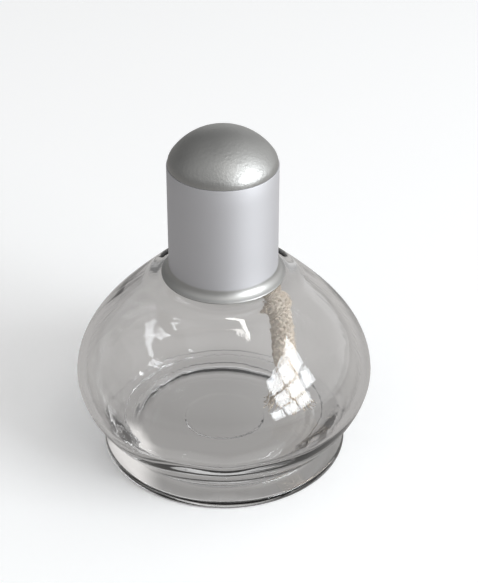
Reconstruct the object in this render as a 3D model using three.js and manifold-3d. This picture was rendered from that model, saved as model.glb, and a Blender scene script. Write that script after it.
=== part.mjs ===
// A round glass table oil lamp with a lift-out burner, a cotton wick and a metal snuffer cap.
// Millimetres, +Z up. The origin is the centre of the foot's underside, where the lamp stands.
// Nearly every piece is turned about Z, so an outline is a run of points (radius, height).

import * as THREE from "three";
import { mergeVertices } from "three/addons/utils/BufferGeometryUtils.js";
import Module from "manifold-3d";

const wasm = await Module();
wasm.setup();

// ---------------------------------------------------------------- driving dimensions

const FLATS_ROUND = 40; // facets round a turned piece
const TOUCH_GAP = 0.3; // gap left between two faces that rest on each other

// Reservoir: foot and waist
const FOOT_RADIUS = 33.4;
const FOOT_EDGE_ROUND = 0.8; // both edges of the foot's rim
const STANDING_RING_INNER_RADIUS = 27.5;
const HOLLOW_RADIUS = 22; // shallow hollow pressed under the foot
const HOLLOW_DEPTH = 1.8;
const ROUNDEL_RADIUS = 11; // plain raised disc in the middle of the hollow
const ROUNDEL_DEPTH = 0.4;
const SKIRT_SLOPE = 15; // degrees, top of the foot
const WAIST_RADIUS = 28.75;
const WAIST_HEIGHT = 4.1;
const WAIST_ROUND = 0.9;

// Reservoir: bulb. A "pull" is the length of a curve handle at that end of a stretch.
const BULB_RISE = 30; // degrees, where the bulb leaves the waist
const BULB_RISE_PULL = 6;
const BULB_RADIUS = 40;
const BELLY_HEIGHT = 23; // height of the widest circle
const BELLY_LOWER_PULL = 5.4;
const BELLY_UPPER_PULL = 10.8;
const SHOULDER_SLOPE = 44; // degrees, where the shoulder turns over to the cap's seat
const SHOULDER_PULL = 13.1;
const SHOULDER_ROUND = 4;
const INNER_SHOULDER_ROUND = 8;
const SEAT_HEIGHT = 53.3; // flat ring that the cap stands on
const SEAT_MARGIN = 1.4; // width of the seat outside the cap's lip
const GLASS_WALL = 2.6;
const FLOOR_HEIGHT = 8.5; // inside floor, over the thick base
const FLOOR_RADIUS = 20;
const FLOOR_PULL = 10;
const INNER_BELLY_PULL = 8;

// Reservoir: neck
const NECK_BORE_RADIUS = 9.2;
const NECK_WALL = 2.4;
const NECK_HEIGHT = 7.7; // above the seat
const NECK_BEAD = 0.6; // how far the lip's bead stands proud of the neck
const NECK_BEAD_HEIGHT = 2.4;
const NECK_ROOT_ROUND = 1;
const LIP_ROUND = 0.5;
const BORE_ROUND = 4; // where the bore opens into the bulb

// Burner
const GASKET_THICKNESS = 1.2;
const GASKET_INSET = 0.5; // gasket edge inside the lip's edge
const SPIGOT_SHEET = 0.6;
const SPIGOT_DEPTH = 6; // reach of the spigot into the neck
const SPIGOT_CLEARANCE = 0.3;
const SPIGOT_SLOTS = 6;
const SPIGOT_SLOT_WIDTH = 1.2;
const SPIGOT_SLOT_LENGTH = 4;
const PLATE_SHEET = 0.6;
const PLATE_RIM_DEPTH = 4; // down-turned rim over the neck's bead
const PLATE_EDGE_ROUND = 1.2;
const RIM_CLEARANCE = 0.4;
const VENT_RADIUS = 0.8;
const VENT_OFFSET = 9.3;
const TUBE_WALL = 0.6;
const TUBE_CLEARANCE = 0.3; // round the wick
const TUBE_BELOW_PLATE = 4;
const TUBE_ABOVE_PLATE = 11;
const TUBE_LIP = 0.45; // rolled bead at the tube's top
const TUBE_LIP_HEIGHT = 1;
const COLLAR_WALL = 2.4;
const COLLAR_HEIGHT = 3.2;
const COLLAR_CHAMFER = 0.8;
const HOLE_CLEARANCE = 0.3; // round the tube in the plate, spigot flange and collar

// Wick
const WICK_DIAMETER = 6.5;
const WICK_SIDES = 10;
const WICK_STEPS = 30;
// Centre line from the lit tip, straight down the tube, then in a slack bow to the floor.
const WICK_ROUTE = [
  [0, 0, 79.5],
  [0, 0, 74.6],
  [0, 0, 69.8],
  [0, 0, 65],
  [0, 0, 62],
  [0.05, 0.02, 60],
  [0.42, 0.16, 57.6],
  [1.24, 0.46, 55.3],
  [2.58, 0.96, 53],
  [4.35, 1.62, 51],
  [6.6, 2.47, 49],
  [8.85, 3.3, 47],
  [10.8, 3.95, 45.2],
  [12.65, 4.4, 43.2],
  [14.1, 4.75, 40.6],
  [15, 4.75, 37.6],
  [15.65, 4.5, 34],
  [16, 4.1, 30.4],
  [16.25, 3.55, 26.8],
  [16.55, 2.9, 23.2],
  [16.9, 2.25, 19.6],
  [17.35, 1.6, 16],
  [17.9, 1, 12.6],
  [18.4, 0.6, 9.8],
];

// Snuffer cap
const CAP_WALL = 0.5;
const CAP_CLEARANCE = 0.7; // between the cap and the burner plate's rim
const FLARE_ROUND = 2.6;
const FLARE_TURN = 72; // degrees that the flare turns outwards
const SLEEVE_HEIGHT = 32; // from the lip to the sleeve's top edge
const DOME_LEDGE = 0.2; // sleeve edge left showing round the dome
const DOME_CORNER = 4.3;
const DOME_CROWN = 16.3;
const DOME_WALL = 0.6;
const DOME_SKIRT_DEPTH = 4;
const DOME_SKIRT_CLEARANCE = 0.3;

// ---------------------------------------------------------------- sizes that follow

const NECK_RADIUS = NECK_BORE_RADIUS + NECK_WALL;
const LIP_RADIUS = NECK_RADIUS + NECK_BEAD;
const NECK_TOP = SEAT_HEIGHT + NECK_HEIGHT;
const PLATE_RIM_INNER = LIP_RADIUS + RIM_CLEARANCE;
const PLATE_RADIUS = PLATE_RIM_INNER + PLATE_SHEET;
const SLEEVE_BORE = PLATE_RADIUS + CAP_CLEARANCE;
const SLEEVE_RADIUS = SLEEVE_BORE + CAP_WALL;
const FLARE_REACH = FLARE_ROUND * (1 - Math.cos(radians(FLARE_TURN)));
const SEAT_RADIUS = SLEEVE_RADIUS + FLARE_REACH + SEAT_MARGIN;

const TUBE_BORE = WICK_DIAMETER / 2 + TUBE_CLEARANCE;
const TUBE_RADIUS = TUBE_BORE + TUBE_WALL;
const TUBE_HOLE = TUBE_RADIUS + HOLE_CLEARANCE;

const GASKET_BOTTOM = NECK_TOP + TOUCH_GAP;
const FLANGE_BOTTOM = GASKET_BOTTOM + GASKET_THICKNESS + TOUCH_GAP;
const PLATE_BOTTOM = FLANGE_BOTTOM + SPIGOT_SHEET + TOUCH_GAP;
const PLATE_TOP = PLATE_BOTTOM + PLATE_SHEET;
const CAP_BOTTOM = SEAT_HEIGHT + TOUCH_GAP;
const SLEEVE_TOP = CAP_BOTTOM + SLEEVE_HEIGHT;

// ---------------------------------------------------------------- outlines

function radians(degrees) {
  return (degrees * Math.PI) / 180;
}

function point(radius, height) {
  return new THREE.Vector2(radius, height);
}

function heading(degrees) {
  return point(Math.cos(radians(degrees)), Math.sin(radians(degrees)));
}

/** Points of an arc about a centre, between two angles in degrees. */
function arc(centre, radius, from, to, steps) {
  return Array.from({ length: steps + 1 }, (_, i) =>
    heading(from + ((to - from) * i) / steps).multiplyScalar(radius).add(centre),
  );
}

/** A round corner of that radius between two straight stretches. */
function roundCorner(before, corner, after, radius, steps) {
  const inward = before.clone().sub(corner).normalize();
  const outward = after.clone().sub(corner).normalize();
  const half = inward.angleTo(outward) / 2;
  const middle = inward.clone().add(outward).normalize();
  const centre = corner.clone().addScaledVector(middle, radius / Math.sin(half));
  const setback = radius / Math.tan(half);
  const start = corner.clone().addScaledVector(inward, setback).sub(centre).angle();
  const end = corner.clone().addScaledVector(outward, setback).sub(centre).angle();
  const turn = Math.atan2(Math.sin(end - start), Math.cos(end - start));
  const degrees = 180 / Math.PI;
  return arc(centre, radius, start * degrees, (start + turn) * degrees, steps);
}

/** A run of corners [radius, height, round]; a corner whose round is given becomes an arc. */
function outline(corners, steps = 3) {
  const places = corners.map(([radius, height]) => point(radius, height));
  return corners.flatMap(([, , round], i) =>
    round ? roundCorner(places[i - 1], places[i], places[i + 1], round, steps) : [places[i]],
  );
}

/** Points of a curve, set inwards from it by a depth, with the glass on the left of the curve. */
function skin(curve, steps, depth) {
  return Array.from({ length: steps + 1 }, (_, i) => {
    const along = curve.getTangent(i / steps);
    return curve.getPoint(i / steps).add(point(-along.y, along.x).multiplyScalar(depth));
  });
}

// ---------------------------------------------------------------- solids

/** Geometry with shared vertices, as a solid needs. */
function welded(geometry) {
  geometry.deleteAttribute("normal");
  geometry.deleteAttribute("uv");
  return mergeVertices(geometry, 1e-4);
}

/** A solid turned about Z from an outline that runs up the outside and down the inside. */
function turned(points) {
  return welded(new THREE.LatheGeometry(points, FLATS_ROUND).rotateX(Math.PI / 2));
}

/** The same for a ring, whose outline closes on itself. */
function turnedRing(points) {
  return turned([...points, points[0]]);
}

function toSolid(geometry) {
  const mesh = new wasm.Mesh({
    numProp: 3,
    vertProperties: new Float32Array(geometry.attributes.position.array),
    triVerts: new Uint32Array(geometry.index.array),
  });
  return new wasm.Manifold(mesh);
}

/** A geometry with each of the cutters taken away. */
function cut(geometry, cutters) {
  const left = cutters.reduce((solid, cutter) => solid.subtract(toSolid(cutter)), toSolid(geometry));
  const mesh = left.getMesh();
  const result = new THREE.BufferGeometry();
  result.setAttribute("position", new THREE.BufferAttribute(mesh.vertProperties, 3));
  result.setIndex(new THREE.BufferAttribute(mesh.triVerts, 1));
  return result;
}

function cylinderAlongZ(radius, length, x, y, z) {
  const sides = 16;
  const cylinder = new THREE.CylinderGeometry(radius, radius, length, sides);
  return welded(cylinder.rotateX(Math.PI / 2).translate(x, y, z));
}

function piece(name, geometry, colour, roughness, metalness, extra = {}) {
  const material = new THREE.MeshStandardMaterial({ color: colour, roughness, metalness, ...extra });
  const mesh = new THREE.Mesh(geometry, material);
  mesh.name = name;
  return mesh;
}

// ---------------------------------------------------------------- pieces

/** One piece of glass: foot, waist, round bulb, seat for the cap and the neck. */
function glassReservoir() {
  const waistCentre = point(WAIST_RADIUS + WAIST_ROUND, WAIST_HEIGHT);
  const waist = arc(waistCentre, WAIST_ROUND, 270 - SKIRT_SLOPE, 90 + BULB_RISE, 3);
  const skirtFoot = waist[0];
  const rimTop = skirtFoot.y - (FOOT_RADIUS - skirtFoot.x) * Math.tan(radians(SKIRT_SLOPE));
  const foot = outline([
    [0, HOLLOW_DEPTH - ROUNDEL_DEPTH],
    [ROUNDEL_RADIUS, HOLLOW_DEPTH - ROUNDEL_DEPTH],
    [ROUNDEL_RADIUS, HOLLOW_DEPTH],
    [HOLLOW_RADIUS, HOLLOW_DEPTH],
    [STANDING_RING_INNER_RADIUS, 0],
    [FOOT_RADIUS, 0, FOOT_EDGE_ROUND],
    [FOOT_RADIUS, rimTop, FOOT_EDGE_ROUND],
    [skirtFoot.x, skirtFoot.y],
  ]);

  const bulbStart = waist.at(-1);
  const belly = point(BULB_RADIUS, BELLY_HEIGHT);
  const lowerBulb = new THREE.CubicBezierCurve(
    bulbStart,
    bulbStart.clone().addScaledVector(heading(BULB_RISE), BULB_RISE_PULL),
    point(BULB_RADIUS, BELLY_HEIGHT - BELLY_LOWER_PULL),
    belly,
  );
  const shoulderCentre = point(SEAT_RADIUS, SEAT_HEIGHT - SHOULDER_ROUND);
  const shoulder = arc(shoulderCentre, SHOULDER_ROUND, 90 - SHOULDER_SLOPE, 90, 3);
  const shoulderStart = shoulder[0];
  const upperBulb = new THREE.CubicBezierCurve(
    belly,
    point(BULB_RADIUS, BELLY_HEIGHT + BELLY_UPPER_PULL),
    shoulderStart.clone().addScaledVector(heading(180 - SHOULDER_SLOPE), -SHOULDER_PULL),
    shoulderStart,
  );

  const beadBottom = NECK_TOP - NECK_BEAD_HEIGHT;
  const innerSeat = SEAT_HEIGHT - GLASS_WALL;
  const halfSlope = Math.tan(radians(SHOULDER_SLOPE / 2));
  const innerShoulder = point(SEAT_RADIUS + (SHOULDER_ROUND - GLASS_WALL) * halfSlope, innerSeat);
  const innerTurn = INNER_SHOULDER_ROUND * halfSlope;
  const innerRise = innerShoulder.clone().addScaledVector(heading(180 - SHOULDER_SLOPE), -innerTurn);
  const neck = outline([
    [SEAT_RADIUS, SEAT_HEIGHT],
    [NECK_RADIUS, SEAT_HEIGHT, NECK_ROOT_ROUND],
    [NECK_RADIUS, beadBottom - NECK_BEAD],
    [LIP_RADIUS, beadBottom],
    [LIP_RADIUS, NECK_TOP, LIP_ROUND],
    [NECK_BORE_RADIUS, NECK_TOP, LIP_ROUND],
    [NECK_BORE_RADIUS, innerSeat, BORE_ROUND],
    [innerShoulder.x, innerShoulder.y, INNER_SHOULDER_ROUND],
    [innerRise.x, innerRise.y],
  ]);
  const innerBelly = point(BULB_RADIUS - GLASS_WALL, BELLY_HEIGHT);
  const bowl = new THREE.CubicBezierCurve(
    innerBelly,
    point(innerBelly.x, BELLY_HEIGHT - INNER_BELLY_PULL),
    point(FLOOR_RADIUS + FLOOR_PULL, FLOOR_HEIGHT),
    point(FLOOR_RADIUS, FLOOR_HEIGHT),
  );

  return turned([
    ...foot.slice(0, -1),
    ...waist.slice(0, -1),
    ...lowerBulb.getPoints(6).slice(0, -1),
    ...upperBulb.getPoints(9).slice(0, -1),
    ...shoulder.slice(0, -1),
    ...neck.slice(0, -1),
    ...skin(upperBulb, 9, GLASS_WALL).reverse().slice(1, -1),
    ...bowl.getPoints(8),
    point(0, FLOOR_HEIGHT),
  ]);
}

/** Flat sealing ring between the glass lip and the burner. */
function neckGasket() {
  const top = GASKET_BOTTOM + GASKET_THICKNESS;
  const outer = LIP_RADIUS - GASKET_INSET;
  return turnedRing(
    outline([
      [NECK_BORE_RADIUS, GASKET_BOTTOM],
      [outer, GASKET_BOTTOM],
      [outer, top],
      [NECK_BORE_RADIUS, top],
    ]),
  );
}

/** Flanged spring sleeve whose slotted fingers hold the burner in the neck. */
function burnerSpigot() {
  const outer = NECK_BORE_RADIUS - SPIGOT_CLEARANCE;
  const bore = outer - SPIGOT_SHEET;
  const bottom = FLANGE_BOTTOM + SPIGOT_SHEET - SPIGOT_DEPTH;
  const body = turnedRing(
    outline([
      [bore, bottom],
      [outer, bottom],
      [outer, FLANGE_BOTTOM],
      [LIP_RADIUS - GASKET_INSET, FLANGE_BOTTOM],
      [LIP_RADIUS - GASKET_INSET, FLANGE_BOTTOM + SPIGOT_SHEET],
      [bore, FLANGE_BOTTOM + SPIGOT_SHEET],
    ]),
  );
  const slots = Array.from({ length: SPIGOT_SLOTS }, (_, i) => {
    const slot = new THREE.BoxGeometry(2 * SPIGOT_SHEET + 2, SPIGOT_SLOT_WIDTH, 2 * SPIGOT_SLOT_LENGTH);
    slot.translate(outer, 0, bottom).rotateZ(((i + 0.5) * 2 * Math.PI) / SPIGOT_SLOTS);
    return welded(slot);
  });
  return cut(body, slots);
}

/** Pressed cover plate whose rim turns down over the glass lip, with a vent for air. */
function burnerPlate() {
  const rimBottom = PLATE_TOP - PLATE_RIM_DEPTH;
  const body = turnedRing(
    outline([
      [TUBE_HOLE, PLATE_BOTTOM],
      [PLATE_RIM_INNER, PLATE_BOTTOM, PLATE_EDGE_ROUND - PLATE_SHEET],
      [PLATE_RIM_INNER, rimBottom],
      [PLATE_RADIUS, rimBottom],
      [PLATE_RADIUS, PLATE_TOP, PLATE_EDGE_ROUND],
      [TUBE_HOLE, PLATE_TOP],
    ]),
  );
  const vent = cylinderAlongZ(VENT_RADIUS, 4 * PLATE_SHEET, -VENT_OFFSET, 0, PLATE_TOP);
  return cut(body, [vent]);
}

/** Tube that the wick is drawn up through, with a rolled lip. */
function wickTube() {
  const bottom = PLATE_BOTTOM - TUBE_BELOW_PLATE;
  const top = PLATE_TOP + TUBE_ABOVE_PLATE;
  const lip = TUBE_RADIUS + TUBE_LIP;
  return turnedRing(
    outline([
      [TUBE_BORE, bottom],
      [TUBE_RADIUS, bottom],
      [TUBE_RADIUS, top - TUBE_LIP_HEIGHT],
      [lip, top - TUBE_LIP_HEIGHT, TUBE_LIP / 2],
      [lip, top, TUBE_LIP / 2],
      [TUBE_BORE, top],
    ]),
  );
}

/** Turned collar that clamps the tube on the plate. */
function tubeCollar() {
  const bottom = PLATE_TOP + TOUCH_GAP;
  const top = bottom + COLLAR_HEIGHT;
  const outer = TUBE_HOLE + COLLAR_WALL;
  return turnedRing(
    outline([
      [TUBE_HOLE, bottom],
      [outer, bottom],
      [outer, top - COLLAR_CHAMFER],
      [outer - COLLAR_CHAMFER, top],
      [TUBE_HOLE, top],
    ]),
  );
}

/** Round cotton wick along its route. */
function wick() {
  const section = new THREE.Shape(
    arc(point(0, 0), WICK_DIAMETER / 2, 0, 360, WICK_SIDES).slice(0, -1),
  );
  const route = new THREE.CatmullRomCurve3(
    WICK_ROUTE.map((place) => new THREE.Vector3(...place)),
    false,
    "centripetal",
  );
  return new THREE.ExtrudeGeometry(section, { steps: WICK_STEPS, extrudePath: route });
}

/** Straight sleeve of the cap, flared at the bottom to stand on the glass. */
function capSleeve() {
  const turn = radians(FLARE_TURN);
  const bendHeight = CAP_BOTTOM + (FLARE_ROUND + CAP_WALL) * Math.sin(turn);
  const bendCentre = point(SLEEVE_RADIUS + FLARE_ROUND, bendHeight);
  return turnedRing([
    ...arc(bendCentre, FLARE_ROUND, 180 + FLARE_TURN, 180, 5),
    point(SLEEVE_RADIUS, SLEEVE_TOP),
    point(SLEEVE_BORE, SLEEVE_TOP),
    ...arc(bendCentre, FLARE_ROUND + CAP_WALL, 180, 180 + FLARE_TURN, 5),
  ]);
}

/** Domed top of the cap, its skirt pressed into the sleeve. */
function capDome() {
  const base = SLEEVE_TOP + TOUCH_GAP;
  const radius = SLEEVE_RADIUS - DOME_LEDGE;
  const cornerCentre = point(radius - DOME_CORNER, base);
  const crownDrop = Math.sqrt((DOME_CROWN - DOME_CORNER) ** 2 - cornerCentre.x ** 2);
  const crownCentre = point(0, base - crownDrop);
  const blend = cornerCentre.clone().sub(crownCentre).angle() * (180 / Math.PI);
  const skirtRadius = SLEEVE_BORE - DOME_SKIRT_CLEARANCE;
  const skirtBore = skirtRadius - DOME_WALL;
  const skirtBottom = SLEEVE_TOP - DOME_SKIRT_DEPTH;
  return turned([
    point(0, crownCentre.y + DOME_CROWN - DOME_WALL),
    ...arc(crownCentre, DOME_CROWN - DOME_WALL, 90, blend, 6).slice(1, -1),
    ...arc(point(skirtBore - DOME_CORNER + DOME_WALL, base), DOME_CORNER - DOME_WALL, blend, 0, 4),
    point(skirtBore, skirtBottom),
    point(skirtRadius, skirtBottom),
    point(skirtRadius, base),
    ...arc(cornerCentre, DOME_CORNER, 0, blend, 4),
    ...arc(crownCentre, DOME_CROWN, blend, 90, 6).slice(1, -1),
    point(0, crownCentre.y + DOME_CROWN),
  ]);
}

// ---------------------------------------------------------------- assembly

const lamp = new THREE.Group();
const burner = new THREE.Group();
const cap = new THREE.Group();

const glass = piece("glass_reservoir", glassReservoir(), 0xd9dcd8, 0.04, 0, {
  transparent: true,
  opacity: 0.35,
});

burner.add(
  piece("neck_gasket", neckGasket(), 0x2a2826, 0.8, 0),
  piece("burner_spigot", burnerSpigot(), 0xb4b6ba, 0.4, 1),
  piece("burner_plate", burnerPlate(), 0xc3c5c9, 0.35, 1),
  piece("wick_tube", wickTube(), 0xb9bbc0, 0.3, 1),
  piece("tube_collar", tubeCollar(), 0xbdbfc4, 0.3, 1),
  piece("wick", wick(), 0xd8cbb8, 0.95, 0),
);

cap.add(
  piece("cap_sleeve", capSleeve(), 0xb9bac0, 0.38, 1),
  piece("cap_dome", capDome(), 0xc4c5ca, 0.28, 1),
);

lamp.add(glass, burner, cap);

export default lamp;
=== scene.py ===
"""Finished look of a round glass table oil lamp with a metal snuffer cap.

Run as a script, it registers its settings, operators and panel, makes every piece around the loaded frame,
and sets the stage and the camera. Lengths are in metres. The turned pieces share the Z axis, so an outline is a
run of (radius, height) points.
"""

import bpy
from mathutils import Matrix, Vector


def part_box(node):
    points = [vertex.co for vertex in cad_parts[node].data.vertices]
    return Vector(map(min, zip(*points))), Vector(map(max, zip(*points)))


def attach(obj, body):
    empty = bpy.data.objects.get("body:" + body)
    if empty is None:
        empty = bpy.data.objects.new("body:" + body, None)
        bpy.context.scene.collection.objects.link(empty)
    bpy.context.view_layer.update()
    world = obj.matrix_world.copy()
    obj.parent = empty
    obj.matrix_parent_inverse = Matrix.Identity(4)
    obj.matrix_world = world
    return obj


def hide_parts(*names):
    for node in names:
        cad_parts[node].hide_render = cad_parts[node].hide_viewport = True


bl_info = {
    "name": "Glass Oil Lamp",
    "version": (1, 0, 0),
    "blender": (4, 5, 0),
    "location": "3D View > Sidebar > Oil Lamp",
    "description": "Builds a round glass oil lamp with its burner, cotton wick and metal snuffer cap",
    "category": "Object",
}

from math import atan2, cos, degrees, hypot, pi, radians, sin, sqrt, tan
from random import Random

import bmesh
import bpy
from mathutils import Matrix, Vector, noise
from mathutils.geometry import interpolate_bezier

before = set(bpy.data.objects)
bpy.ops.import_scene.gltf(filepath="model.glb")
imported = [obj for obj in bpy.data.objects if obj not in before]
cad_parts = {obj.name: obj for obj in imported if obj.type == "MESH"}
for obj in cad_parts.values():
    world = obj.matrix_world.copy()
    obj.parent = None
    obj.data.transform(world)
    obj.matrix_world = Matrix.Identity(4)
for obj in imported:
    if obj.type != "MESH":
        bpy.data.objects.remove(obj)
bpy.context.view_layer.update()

MM = 0.001


# ---------------------------------------------------------------- places read from the frame


def low(node, axis):
    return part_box(node)[0][axis]


def high(node, axis):
    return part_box(node)[1][axis]


def radius_of(node):
    return high(node, 0)


def bottom_of(node):
    return low(node, 2)


def top_of(node):
    return high(node, 2)


# ---------------------------------------------------------------- settings


def distance(name, description, default):
    return bpy.props.FloatProperty(
        name=name,
        description=description,
        default=default,
        min=0,
        precision=5,
        subtype="DISTANCE",
        unit="LENGTH",
    )


def turn(name, description, default):
    return bpy.props.FloatProperty(
        name=name, description=description, default=radians(default), subtype="ANGLE", unit="ROTATION"
    )


def colour(name, description, default):
    return bpy.props.FloatVectorProperty(
        name=name, description=description, default=default, size=3, min=0, max=1, subtype="COLOR"
    )


def amount(name, description, default, top=1.0):
    return bpy.props.FloatProperty(name=name, description=description, default=default, min=0, max=top)


def count(name, description, default):
    return bpy.props.IntProperty(name=name, description=description, default=default, min=1)


class LampGlassSettings(bpy.types.PropertyGroup):
    """Sizes and colour of the glass reservoir."""

    bulb_radius: distance("Bulb radius", "Radius of the bulb at its widest", radius_of("glass_reservoir"))
    belly_height: distance("Belly height", "Height of the widest circle", 23 * MM)
    wall: distance("Wall", "Thickness of the glass in the bulb", 2.6 * MM)
    foot_radius: distance("Foot radius", "Radius of the spreading foot", 33.4 * MM)
    foot_edge: distance("Foot edge", "Round on the foot's two edges", 0.8 * MM)
    ring_inner_radius: distance("Standing ring", "Inner radius of the ring under the foot", 27.5 * MM)
    hollow_radius: distance("Hollow radius", "Radius of the flat of the hollow under the foot", 22 * MM)
    hollow_depth: distance("Hollow depth", "Depth of the hollow under the foot", 1.8 * MM)
    roundel_radius: distance("Roundel radius", "Radius of the raised disc in the hollow", 11 * MM)
    roundel_depth: distance("Roundel rise", "How far the disc stands proud", 0.4 * MM)
    waist_radius: distance("Waist radius", "Radius of the glass at its narrowest, over the foot", 28.75 * MM)
    waist_height: distance("Waist height", "Height of the waist", 4.1 * MM)
    waist_round: distance("Waist round", "Round in the bottom of the waist's groove", 0.9 * MM)
    shoulder_round: distance("Shoulder round", "Round between the shoulder and the cap's seat", 4 * MM)
    seat_height: distance("Seat height", "Height of the flat ring that the cap stands on", 53.3 * MM)
    seat_radius: distance("Seat radius", "Radius where the flat seat begins to turn down", 17.62 * MM)
    floor_height: distance("Floor height", "Height of the floor inside, over the thick base", 8.5 * MM)
    floor_radius: distance("Floor radius", "Radius of the flat of the floor inside", 20 * MM)
    neck_bore: distance("Neck bore", "Radius of the neck's bore", 9.2 * MM)
    neck_wall: distance("Neck wall", "Thickness of the neck", 2.4 * MM)
    bead: distance("Lip bead", "How far the lip's bead stands proud of the neck", 0.6 * MM)
    unevenness: distance("Unevenness", "How far the inside wall wanders, as blown glass does", 0.22 * MM)
    floor_wander: distance("Floor wander", "How far the floor's edge strays from a circle", 3.2 * MM)
    tint: colour("Tint", "Colour of the glass", (0.99, 0.988, 0.988))


class LampCapSettings(bpy.types.PropertyGroup):
    """Sizes and finish of the snuffer cap."""

    sleeve_radius: distance("Sleeve radius", "Outside radius of the straight sleeve", 14.4 * MM)
    wall: distance("Sheet", "Thickness of the sleeve's sheet", 0.5 * MM)
    flare_round: distance("Flare round", "Radius of the bend in the flared lip", 2.6 * MM)
    flare_turn: turn("Flare turn", "How far the lip turns outwards", 72)
    dome_ledge: distance("Dome ledge", "Edge of the sleeve left showing round the dome", 0.2 * MM)
    dome_corner: distance("Dome corner", "Radius of the dome's corner", 4.3 * MM)
    dome_crown: distance("Dome crown", "Radius of the dome's crown", 16.3 * MM)
    dome_wall: distance("Dome sheet", "Thickness of the dome's sheet", 0.6 * MM)
    sleeve_colour: colour("Sleeve colour", "Colour of the brushed sleeve", (0.70, 0.70, 0.722))
    dome_colour: colour("Dome colour", "Colour of the satin dome and flare", (0.44, 0.44, 0.43))
    sleeve_roughness: amount("Sleeve roughness", "Roughness of the brushed sleeve", 0.64)
    dome_roughness: amount("Dome roughness", "Roughness of the satin dome and flare", 0.44)


class LampBurnerSettings(bpy.types.PropertyGroup):
    """Sizes and finish of the burner."""

    sheet: distance("Sheet", "Thickness of the burner's sheet", 0.6 * MM)
    vent_radius: distance("Vent radius", "Radius of the air vent in the plate", 0.8 * MM)
    vent_offset: distance("Vent offset", "Distance of the vent from the axis", 9.3 * MM)
    slots: count("Slots", "Slots round the spring spigot", 6)
    slot_length: distance("Slot length", "Length of each slot in the spigot", 4 * MM)
    metal_colour: colour("Metal colour", "Colour of the burner's metal", (0.60, 0.595, 0.59))
    stain_colour: colour("Stain colour", "Colour of the metal that heat has dulled", (0.42, 0.38, 0.33))
    rubber_colour: colour("Gasket colour", "Colour of the sealing ring", (0.045, 0.042, 0.04))


class LampWickSettings(bpy.types.PropertyGroup):
    """Sizes and colours of the cotton wick."""

    diameter: distance("Diameter", "Diameter of the round wick", 6.5 * MM)
    strands: count("Strands", "Strands that run each way round the braid", 9)
    crossing: distance("Crossing", "Distance along the wick between crossings of the braid", 1.15 * MM)
    fibres: count("Fibres", "Loose fibres that stand off the braid", 5200)
    frayed_strands: count("Frayed strands", "Yarns that spread from the lower end", 110)
    yarn_colour: colour("Yarn colour", "Colour of the raised cotton", (0.80, 0.71, 0.60))
    shade_colour: colour("Shade colour", "Colour of the soiled cotton", (0.52, 0.40, 0.29))
    char_colour: colour("Char colour", "Colour of the burnt tip", (0.035, 0.028, 0.024))


class LampStageSettings(bpy.types.PropertyGroup):
    """The floor, the lights and the camera."""

    floor_colour: colour("Floor colour", "Colour of the pale floor", (0.94, 0.94, 0.94))
    floor_glow: amount("Floor glow", "How much light the floor adds of its own", 0.15)
    # The next seven settings paint light and shade into the floor: a glowing grey table top seen only in or
    # through the lamp, with painted shadow under the lamp, a painted caustic, and painted brightness from side
    # to side and far away.
    painted_table_glow: colour("Table grey", "Grey that shows through and in the lamp", (0.455, 0.445, 0.435))
    contact_shade: amount("Contact shade", "How much darker the floor is under the lamp", 0.26)
    ring_shade: amount("Ring shade", "How much darker still the floor is under the foot's ring", 0.16)
    gathered_light: amount("Gathered light", "Light that the glass gathers opposite the window", 1.2, 4)
    table_left: amount("Table left", "Brightness of the table on the left, 1 being by the lamp", 0.72, 4)
    table_right: amount("Table right", "Brightness of the table on the right, 1 being by the lamp", 1.2, 4)
    table_fall: amount("Table fall", "Share of its brightness that the table keeps far away", 0.6)
    window_power: amount("Window power", "Strength of the window light, in watts", 11.0, 1000)
    overhead_power: amount("Overhead power", "Strength of the narrow light above, in watts", 0.8, 1000)
    backdrop: amount("Backdrop", "Brightness of the plain backdrop", 0.86)
    room_dark: amount("Room dark", "Brightness of the room low down on the left", 0.12)
    room_right: amount("Room right", "Brightness that the right side of the room adds", 0.75)
    room_horizon: amount("Room horizon", "Brightness that the room's low band adds", 0.25)
    room_back: amount("Room back", "Brightness that the low part of the back wall adds", 0.5)
    room_above: amount("Room above", "Brightness that the ceiling adds", 0.55)
    lens: amount("Lens", "Focal length in millimetres", 103.2, 1000)
    eye_distance: distance("Camera distance", "How far in front of the lamp's axis the camera is", 372.3 * MM)
    eye_height: distance("Camera height", "How high the camera is over the floor", 289.5 * MM)
    eye_pitch: turn("Camera pitch", "How far the camera looks down", 33.08)
    eye_yaw: turn("Camera yaw", "How far the camera is turned to the right of the axis", 0.63)


def glass_settings():
    return bpy.context.scene.lamp_glass


def wick_settings():
    return bpy.context.scene.lamp_wick


# ---------------------------------------------------------------- outlines


def point(radius, height):
    return Vector((radius, height))


def heading(angle):
    """Unit step in a direction given in degrees."""
    return point(cos(radians(angle)), sin(radians(angle)))


def arc(centre, radius, start, end, steps):
    """Points of an arc about a centre, between two angles in degrees."""
    return [centre + heading(start + (end - start) * i / steps) * radius for i in range(steps + 1)]


def round_corner(before, corner, after, radius, steps):
    """A corner between two straight stretches, rounded to a radius."""
    inward = (before - corner).normalized()
    outward = (after - corner).normalized()
    half = inward.angle(outward) / 2
    centre = corner + (inward + outward).normalized() * (radius / sin(half))
    first = corner + inward * (radius / tan(half)) - centre
    last = corner + outward * (radius / tan(half)) - centre
    start = atan2(first.y, first.x)
    swing = first.angle_signed(last)
    return arc(centre, radius, degrees(start), degrees(start - swing), steps)


def outline(corners, steps=6):
    """Points through corners (radius, height, round); a corner with a round becomes an arc."""
    places = [point(c[0], c[1]) for c in corners]
    points = []
    for i, corner in enumerate(corners):
        if len(corner) > 2:
            points += round_corner(places[i - 1], places[i], places[i + 1], corner[2], steps)
        else:
            points.append(places[i])
    return points


def curve(start, start_pull, end_pull, end, steps):
    """Points of a curve between two places, each with its own handle."""
    return [p.xy for p in interpolate_bezier(start, start_pull, end_pull, end, steps + 1)]


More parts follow.
